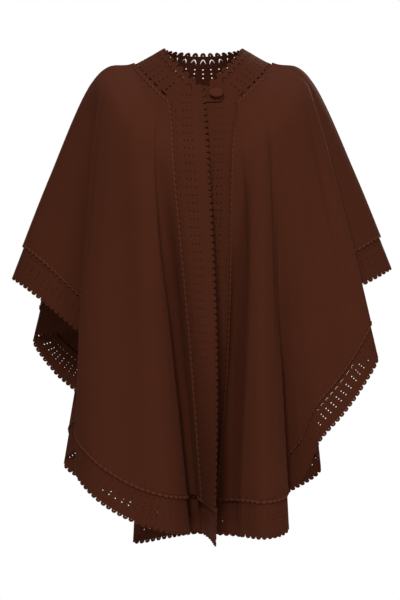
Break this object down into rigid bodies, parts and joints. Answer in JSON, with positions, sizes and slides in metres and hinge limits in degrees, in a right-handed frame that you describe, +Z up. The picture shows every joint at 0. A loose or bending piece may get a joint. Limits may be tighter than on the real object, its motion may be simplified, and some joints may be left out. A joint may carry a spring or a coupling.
{
  "type": "cape",
  "caption": "Open-front wool cape with wide arm folds, a pierced scalloped border round neck, fronts and hem, and one covered button on a neck tab, in its worn form.",
  "frame": {"origin": "middle of the neck opening at the height of the shoulder seams, where the wearer's neck and shoulders hold the cape", "axes": "+Z up, -Y out of the front, +X towards the wearer's left side"},
  "size_m": [0.7224, 0.3701, 0.9638],
  "materials": {
    "wool_body": "matte milled wool knit",
    "wool_border": "matte milled wool knit, pierced",
    "wool_button": "cloth-covered button"
  },
  "bodies": {
    "root": {"front_right": "wool_body", "front_left": "wool_body", "back": "wool_body", "neck_and_front_border_right": "wool_border", "neck_and_front_border_left": "wool_border", "neck_border_back": "wool_border", "hem_border_right": "wool_border", "hem_border_left": "wool_border", "hem_border_back": "wool_border", "button_tab": "wool_border", "button": "wool_button"}
  },
  "joints": []
}
